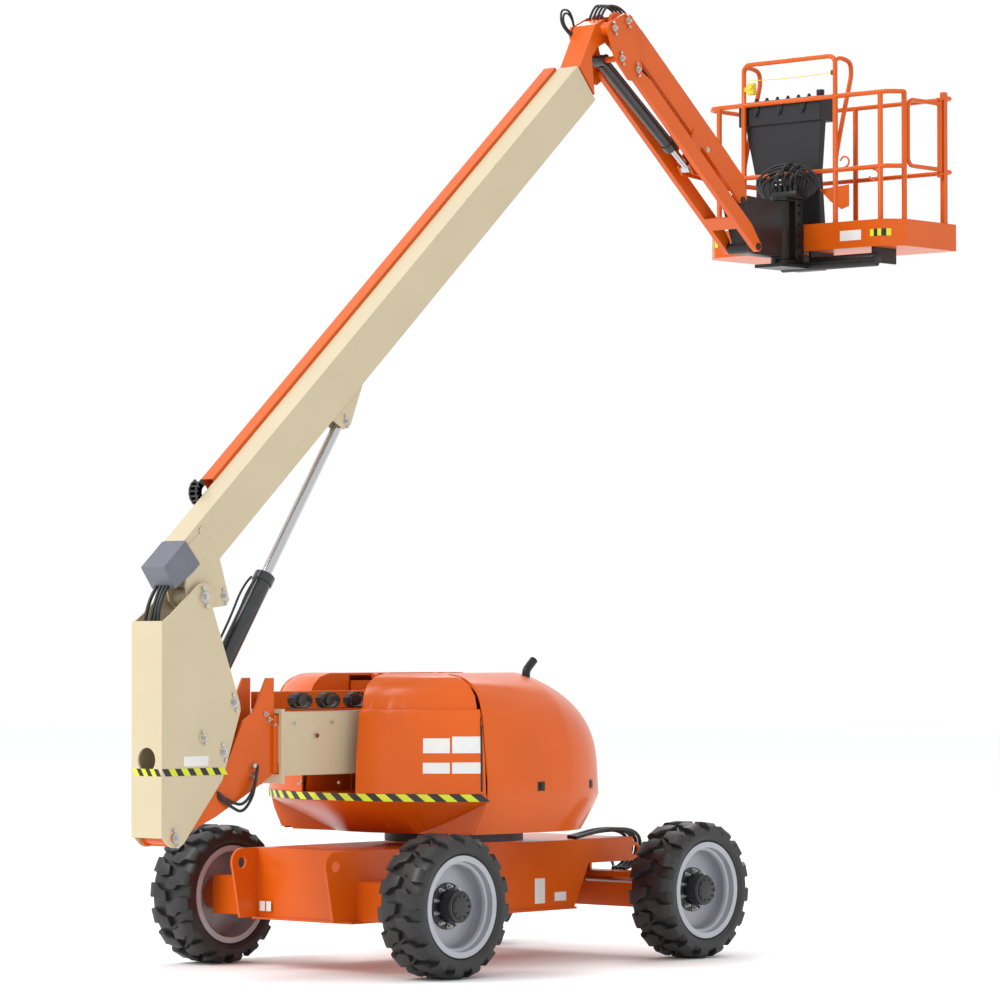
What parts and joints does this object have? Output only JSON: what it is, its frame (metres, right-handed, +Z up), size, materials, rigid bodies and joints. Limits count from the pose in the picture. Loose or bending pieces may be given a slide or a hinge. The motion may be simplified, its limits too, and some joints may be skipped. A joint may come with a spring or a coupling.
{
  "type": "articulating boom lift",
  "caption": "Articulating boom lift on lugged tyres: orange chassis, hoods, jib and railed platform, cream upright and booms, slewing turntable and hydraulic cylinders.",
  "frame": {"origin": "On the ground under the slewing axis, midway between the axles.", "axes": "+X points from the tail to the platform, +Y is the left side of the machine, +Z is up."},
  "size_m": [7.428, 2.44, 6.6109],
  "materials": {
    "orange_paint": "gloss",
    "cream_paint": "gloss",
    "grey_paint": "satin",
    "black_paint": "satin",
    "rim_paint": "satin",
    "cast": "rough",
    "chromed": "polished",
    "steel": "satin",
    "tyre": "matte",
    "dark_plastic": "matte"
  },
  "bodies": {
    "chassis": {"chassis_frame": "orange_paint", "steer_axle": "orange_paint", "slew_bearing": "cast"},
    "steer_link": {"steer_rod": "chromed"},
    "left_knuckle": {"knuckle_left": "cast"},
    "right_knuckle": {"knuckle_right": "cast"},
    "wheel_front_left": {"tyre_front_left": "tyre", "rim_front_left": "rim_paint"},
    "wheel_front_right": {"tyre_front_right": "tyre", "rim_front_right": "rim_paint"},
    "wheel_rear_left": {"tyre_rear_left": "tyre", "rim_rear_left": "rim_paint"},
    "wheel_rear_right": {"tyre_rear_right": "tyre", "rim_rear_right": "rim_paint"},
    "turntable": {"turntable_frame": "orange_paint", "counterweight": "orange_paint", "tail_cover_left": "orange_paint", "tail_cover_right": "orange_paint", "engine_block": "cast"},
    "left_hood": {"hood_left": "orange_paint"},
    "right_hood": {"hood_right": "orange_paint", "exhaust_pipe": "steel"},
    "tower_base": {"tower_base_boom": "cream_paint", "tower_hose_tray": "orange_paint"},
    "tower_fly": {"tower_fly_boom": "orange_paint"},
    "tower_barrel": {"tower_cylinder_barrel": "black_paint"},
    "tower_rod": {"tower_cylinder_rod": "chromed"},
    "upright_post": {"upright": "cream_paint"},
    "main_base": {"main_base_boom": "cream_paint", "boom_cover": "grey_paint", "hose_tray": "orange_paint"},
    "lift_barrel": {"lift_cylinder_barrel": "black_paint"},
    "lift_rod": {"lift_cylinder_rod": "chromed"},
    "main_fly": {"main_fly_boom": "orange_paint", "main_fly_nose": "orange_paint"},
    "head": {"jib_head": "orange_paint"},
    "jib": {"jib_beam": "orange_paint", "jib_cover": "dark_plastic"},
    "links": {"jib_links": "orange_paint"},
    "jib_barrel": {"jib_cylinder_barrel": "black_paint"},
    "jib_rod": {"jib_cylinder_rod": "chromed"},
    "support": {"platform_support": "black_paint"},
    "platform": {"platform_mount": "black_paint", "platform_floor": "orange_paint", "platform_rails": "orange_paint", "console": "dark_plastic"},
    "gate_leaf": {"gate": "orange_paint"}
  },
  "joints": [
    {"name": "steer_left", "type": "hinge", "parent": "chassis", "child": "left_knuckle", "pos_m": [1.24, 0.8, 0.45], "axis": [0, 0, 1], "range_deg": [-35, 35]},
    {"name": "steer_right", "type": "hinge", "parent": "chassis", "child": "right_knuckle", "pos_m": [1.24, -0.8, 0.45], "axis": [0, 0, 1], "range_deg": [-35, 35]},
    {"name": "steer_rod_slide", "type": "slide", "parent": "chassis", "child": "steer_link", "axis": [0, 1, 0], "range_m": [-0.112, 0.112]},
    {"name": "wheel_front_left_spin", "type": "hinge", "parent": "left_knuckle", "child": "wheel_front_left", "pos_m": [1.24, 1.0425, 0.464], "axis": [0, 1, 0], "continuous": true},
    {"name": "wheel_front_right_spin", "type": "hinge", "parent": "right_knuckle", "child": "wheel_front_right", "pos_m": [1.24, -1.0425, 0.464], "axis": [0, 1, 0], "continuous": true},
    {"name": "wheel_rear_left_spin", "type": "hinge", "parent": "chassis", "child": "wheel_rear_left", "pos_m": [-1.24, 1.0425, 0.464], "axis": [0, 1, 0], "continuous": true},
    {"name": "wheel_rear_right_spin", "type": "hinge", "parent": "chassis", "child": "wheel_rear_right", "pos_m": [-1.24, -1.0425, 0.464], "axis": [0, 1, 0], "continuous": true},
    {"name": "slew", "type": "hinge", "parent": "chassis", "child": "turntable", "pos_m": [0, 0, 0.85], "axis": [0, 0, 1], "continuous": true},
    {"name": "hood_left_open", "type": "hinge", "parent": "turntable", "child": "left_hood", "pos_m": [0, 0.232, 1.922], "axis": [1, 0, 0], "range_deg": [0, 50]},
    {"name": "hood_right_open", "type": "hinge", "parent": "turntable", "child": "right_hood", "pos_m": [0, -0.232, 1.922], "axis": [-1, 0, 0], "range_deg": [0, 50]},
    {"name": "tower_lift", "type": "hinge", "parent": "turntable", "child": "tower_base", "pos_m": [0.82, 0, 1.49], "axis": [0, 1, 0], "range_deg": [0, 68]},
    {"name": "tower_extend", "type": "slide", "parent": "tower_base", "child": "tower_fly", "axis": [-1, 0, 0], "range_m": [0, 1.45]},
    {"name": "upright_level", "type": "hinge", "parent": "tower_fly", "child": "upright_post", "pos_m": [-2.76, 0, 0.921], "axis": [0, 1, 0], "range_deg": [-68, 0]},
    {"name": "tower_cylinder_swing", "type": "hinge", "parent": "turntable", "child": "tower_barrel", "pos_m": [0.62, 0, 1], "axis": [0, 1, 0], "range_deg": [0, 63.5]},
    {"name": "tower_cylinder_slide", "type": "slide", "parent": "tower_barrel", "child": "tower_rod", "axis": [-0.9912, 0, 0.1322], "range_m": [0, 0.588]},
    {"name": "main_lift", "type": "hinge", "parent": "upright_post", "child": "main_base", "pos_m": [-2.506, 0, 2.438], "axis": [0, -1, 0], "range_deg": [-50, 32]},
    {"name": "main_extend", "type": "slide", "parent": "main_base", "child": "main_fly", "axis": [0.7478, 0, 0.6639], "range_m": [0, 4]},
    {"name": "lift_cylinder_swing", "type": "hinge", "parent": "upright_post", "child": "lift_barrel", "pos_m": [-2.516, 0, 1.547], "axis": [0, -1, 0], "range_deg": [-35.6, 22.8]},
    {"name": "lift_cylinder_slide", "type": "slide", "parent": "lift_barrel", "child": "lift_rod", "axis": [0.5596, 0, 0.8287], "range_m": [-0.625, 0.4]},
    {"name": "head_level", "type": "hinge", "parent": "main_fly", "child": "head", "pos_m": [1.46569, 0, 6.47306], "axis": [0, -1, 0], "range_deg": [-32, 50]},
    {"name": "jib_lift", "type": "hinge", "parent": "head", "child": "jib", "pos_m": [1.615, 0, 6.539], "axis": [0, -1, 0], "range_deg": [-20.8, 105]},
    {"name": "jib_link_swing", "type": "hinge", "parent": "head", "child": "links", "pos_m": [1.723, 0, 6.204], "axis": [0, -1, 0], "range_deg": [-20.8, 105]},
    {"name": "jib_cylinder_swing", "type": "hinge", "parent": "head", "child": "jib_barrel", "pos_m": [1.546, 0, 6.268], "axis": [0, -1, 0], "range_deg": [-19.6, 98.6]},
    {"name": "jib_cylinder_slide", "type": "slide", "parent": "jib_barrel", "child": "jib_rod", "axis": [0.8148, 0, -0.5798], "range_m": [-0.08, 0.397]},
    {"name": "platform_level", "type": "hinge", "parent": "jib", "child": "support", "pos_m": [3.03295, 0, 5.38214], "axis": [0, -1, 0], "range_deg": [-105, 20.8]},
    {"name": "platform_rotate", "type": "hinge", "parent": "support", "child": "platform", "pos_m": [3.6, 0, 5.2], "axis": [0, 0, 1], "range_deg": [-90, 90]},
    {"name": "gate_open", "type": "hinge", "parent": "platform", "child": "gate_leaf", "pos_m": [4.386, -0.889, 5.9], "axis": [0, 0, -1], "range_deg": [0, 90]}
  ],
  "couplings": [
    {"joint": "steer_right", "follows": "steer_left", "ratio": 1},
    {"joint": "steer_rod_slide", "follows": "steer_left", "m_per_rad": -0.18},
    {"joint": "upright_level", "follows": "tower_lift", "ratio": -1},
    {"joint": "tower_cylinder_swing", "follows": "tower_lift", "ratio": 0.931},
    {"joint": "tower_cylinder_slide", "follows": "tower_lift", "m_per_rad": 0.4935},
    {"joint": "lift_cylinder_swing", "follows": "main_lift", "ratio": 0.71},
    {"joint": "lift_cylinder_slide", "follows": "main_lift", "m_per_rad": 0.715},
    {"joint": "head_level", "follows": "main_lift", "ratio": -1},
    {"joint": "jib_link_swing", "follows": "jib_lift", "ratio": 1},
    {"joint": "jib_cylinder_swing", "follows": "jib_lift", "ratio": 0.9376},
    {"joint": "jib_cylinder_slide", "follows": "jib_lift", "m_per_rad": 0.2161},
    {"joint": "platform_level", "follows": "jib_lift", "ratio": -1}
  ]
}
